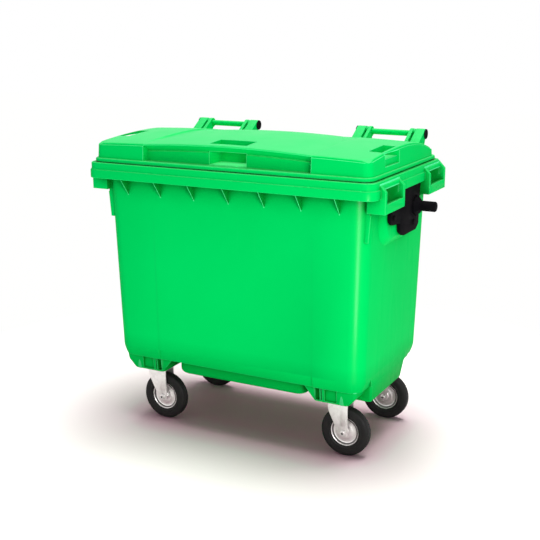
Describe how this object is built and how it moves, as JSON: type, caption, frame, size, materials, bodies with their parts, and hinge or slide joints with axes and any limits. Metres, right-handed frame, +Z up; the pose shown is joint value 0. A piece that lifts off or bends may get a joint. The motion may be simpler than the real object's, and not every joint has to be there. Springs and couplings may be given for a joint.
{
  "type": "waste container",
  "caption": "Wheeled plastic waste container with a flat hinged lid, end grips, lifting trunnions, a drain plug and swivel casters.",
  "frame": {"origin": "on the floor, below the centre of the bounding box", "axes": "+X along the width, to the right seen from the front; +Y to the back, where the lid's hinges are; +Z up"},
  "size_m": [1.37, 0.7765, 1.229],
  "materials": {
    "tub": "moulded polyethylene, satin",
    "lid": "moulded polyethylene, satin",
    "hinge_tube_left": "extruded plastic, satin",
    "hinge_cap_left_inner": "moulded plastic, satin",
    "hinge_cap_left_outer": "moulded plastic, satin",
    "trunnion_left": "reinforced plastic, satin",
    "trunnion_backing_left": "zinc plated steel strip",
    "trunnion_bolt_left_lobe": "blackened steel",
    "trunnion_bolt_left_foot": "blackened steel",
    "hinge_tube_right": "extruded plastic, satin",
    "hinge_cap_right_inner": "moulded plastic, satin",
    "hinge_cap_right_outer": "moulded plastic, satin",
    "trunnion_right": "reinforced plastic, satin",
    "trunnion_backing_right": "zinc plated steel strip",
    "trunnion_bolt_right_lobe": "blackened steel",
    "trunnion_bolt_right_foot": "blackened steel",
    "drain_plug": "moulded plastic, satin",
    "drain_seal": "soft rubber, matte",
    "caster_front_left_plate": "zinc plated pressed steel",
    "caster_front_left_ball_race": "plain steel",
    "caster_front_left_king_pin": "zinc plated steel rivet",
    "caster_front_left_fork": "zinc plated pressed steel",
    "caster_front_left_axle_bolt": "zinc plated steel",
    "caster_front_left_axle_nut": "zinc plated steel",
    "caster_front_left_axle_sleeve": "plain steel tube",
    "caster_front_left_wheel_rim": "zinc plated pressed steel",
    "caster_front_left_bearing": "plain nylon bush",
    "caster_front_left_tyre": "solid rubber, matte",
    "caster_front_right_plate": "zinc plated pressed steel",
    "caster_front_right_ball_race": "plain steel",
    "caster_front_right_king_pin": "zinc plated steel rivet",
    "caster_front_right_fork": "zinc plated pressed steel",
    "caster_front_right_axle_bolt": "zinc plated steel",
    "caster_front_right_axle_nut": "zinc plated steel",
    "caster_front_right_axle_sleeve": "plain steel tube",
    "caster_front_right_wheel_rim": "zinc plated pressed steel",
    "caster_front_right_bearing": "plain nylon bush",
    "caster_front_right_tyre": "solid rubber, matte",
    "caster_rear_left_plate": "zinc plated pressed steel",
    "caster_rear_left_ball_race": "plain steel",
    "caster_rear_left_king_pin": "zinc plated steel rivet",
    "caster_rear_left_fork": "zinc plated pressed steel",
    "caster_rear_left_axle_bolt": "zinc plated steel",
    "caster_rear_left_axle_nut": "zinc plated steel",
    "caster_rear_left_axle_sleeve": "plain steel tube",
    "caster_rear_left_wheel_rim": "zinc plated pressed steel",
    "caster_rear_left_bearing": "plain nylon bush",
    "caster_rear_left_tyre": "solid rubber, matte",
    "caster_rear_right_plate": "zinc plated pressed steel",
    "caster_rear_right_ball_race": "plain steel",
    "caster_rear_right_king_pin": "zinc plated steel rivet",
    "caster_rear_right_fork": "zinc plated pressed steel",
    "caster_rear_right_axle_bolt": "zinc plated steel",
    "caster_rear_right_axle_nut": "zinc plated steel",
    "caster_rear_right_axle_sleeve": "plain steel tube",
    "caster_rear_right_wheel_rim": "zinc plated pressed steel",
    "caster_rear_right_bearing": "plain nylon bush",
    "caster_rear_right_tyre": "solid rubber, matte"
  },
  "bodies": {
    "container": {"tub": "tub", "hinge_tube_left": "hinge_tube_left", "hinge_tube_right": "hinge_tube_right", "hinge_cap_left_inner": "hinge_cap_left_inner", "hinge_cap_left_outer": "hinge_cap_left_outer", "hinge_cap_right_inner": "hinge_cap_right_inner", "hinge_cap_right_outer": "hinge_cap_right_outer", "trunnion_left": "trunnion_left", "trunnion_right": "trunnion_right", "trunnion_backing_left": "trunnion_backing_left", "trunnion_backing_right": "trunnion_backing_right", "trunnion_bolt_left_lobe": "trunnion_bolt_left_lobe", "trunnion_bolt_left_foot": "trunnion_bolt_left_foot", "trunnion_bolt_right_lobe": "trunnion_bolt_right_lobe", "trunnion_bolt_right_foot": "trunnion_bolt_right_foot", "drain_plug": "drain_plug", "drain_seal": "drain_seal", "caster_front_left_plate": "caster_front_left_plate", "caster_front_left_ball_race": "caster_front_left_ball_race", "caster_front_left_king_pin": "caster_front_left_king_pin", "caster_front_right_plate": "caster_front_right_plate", "caster_front_right_ball_race": "caster_front_right_ball_race", "caster_front_right_king_pin": "caster_front_right_king_pin", "caster_rear_left_plate": "caster_rear_left_plate", "caster_rear_left_ball_race": "caster_rear_left_ball_race", "caster_rear_left_king_pin": "caster_rear_left_king_pin", "caster_rear_right_plate": "caster_rear_right_plate", "caster_rear_right_ball_race": "caster_rear_right_ball_race", "caster_rear_right_king_pin": "caster_rear_right_king_pin"},
    "lid": {"lid": "lid"},
    "swivel_front_left": {"caster_front_left_fork": "caster_front_left_fork", "caster_front_left_axle_bolt": "caster_front_left_axle_bolt", "caster_front_left_axle_nut": "caster_front_left_axle_nut", "caster_front_left_axle_sleeve": "caster_front_left_axle_sleeve"},
    "wheel_front_left": {"caster_front_left_bearing": "caster_front_left_bearing", "caster_front_left_wheel_rim": "caster_front_left_wheel_rim", "caster_front_left_tyre": "caster_front_left_tyre"},
    "swivel_front_right": {"caster_front_right_fork": "caster_front_right_fork", "caster_front_right_axle_bolt": "caster_front_right_axle_bolt", "caster_front_right_axle_nut": "caster_front_right_axle_nut", "caster_front_right_axle_sleeve": "caster_front_right_axle_sleeve"},
    "wheel_front_right": {"caster_front_right_bearing": "caster_front_right_bearing", "caster_front_right_wheel_rim": "caster_front_right_wheel_rim", "caster_front_right_tyre": "caster_front_right_tyre"},
    "swivel_rear_left": {"caster_rear_left_fork": "caster_rear_left_fork", "caster_rear_left_axle_bolt": "caster_rear_left_axle_bolt", "caster_rear_left_axle_nut": "caster_rear_left_axle_nut", "caster_rear_left_axle_sleeve": "caster_rear_left_axle_sleeve"},
    "wheel_rear_left": {"caster_rear_left_bearing": "caster_rear_left_bearing", "caster_rear_left_wheel_rim": "caster_rear_left_wheel_rim", "caster_rear_left_tyre": "caster_rear_left_tyre"},
    "swivel_rear_right": {"caster_rear_right_fork": "caster_rear_right_fork", "caster_rear_right_axle_bolt": "caster_rear_right_axle_bolt", "caster_rear_right_axle_nut": "caster_rear_right_axle_nut", "caster_rear_right_axle_sleeve": "caster_rear_right_axle_sleeve"},
    "wheel_rear_right": {"caster_rear_right_bearing": "caster_rear_right_bearing", "caster_rear_right_wheel_rim": "caster_rear_right_wheel_rim", "caster_rear_right_tyre": "caster_rear_right_tyre"}
  },
  "joints": [
    {"name": "lid_hinge", "type": "hinge", "parent": "container", "child": "lid", "pos_m": [0, 0.3665, 1.2077], "axis": [-1, 0, 0], "range_deg": [0, 270]},
    {"name": "swivel_front_left_turn", "type": "hinge", "parent": "container", "child": "swivel_front_left", "pos_m": [-0.4186, -0.1876, 0.226], "axis": [0, 0, 1], "continuous": true},
    {"name": "wheel_front_left_spin", "type": "hinge", "parent": "swivel_front_left", "child": "wheel_front_left", "pos_m": [-0.3946, -0.1876, 0.1], "axis": [0, 1, 0], "continuous": true},
    {"name": "swivel_front_right_turn", "type": "hinge", "parent": "container", "child": "swivel_front_right", "pos_m": [0.4186, -0.1876, 0.226], "axis": [0, 0, 1], "continuous": true},
    {"name": "wheel_front_right_spin", "type": "hinge", "parent": "swivel_front_right", "child": "wheel_front_right", "pos_m": [0.4426, -0.1876, 0.1], "axis": [0, 1, 0], "continuous": true},
    {"name": "swivel_rear_left_turn", "type": "hinge", "parent": "container", "child": "swivel_rear_left", "pos_m": [-0.4186, 0.24, 0.226], "axis": [0, 0, 1], "continuous": true},
    {"name": "wheel_rear_left_spin", "type": "hinge", "parent": "swivel_rear_left", "child": "wheel_rear_left", "pos_m": [-0.3946, 0.24, 0.1], "axis": [0, 1, 0], "continuous": true},
    {"name": "swivel_rear_right_turn", "type": "hinge", "parent": "container", "child": "swivel_rear_right", "pos_m": [0.4186, 0.24, 0.226], "axis": [0, 0, 1], "continuous": true},
    {"name": "wheel_rear_right_spin", "type": "hinge", "parent": "swivel_rear_right", "child": "wheel_rear_right", "pos_m": [0.4426, 0.24, 0.1], "axis": [0, 1, 0], "continuous": true}
  ]
}
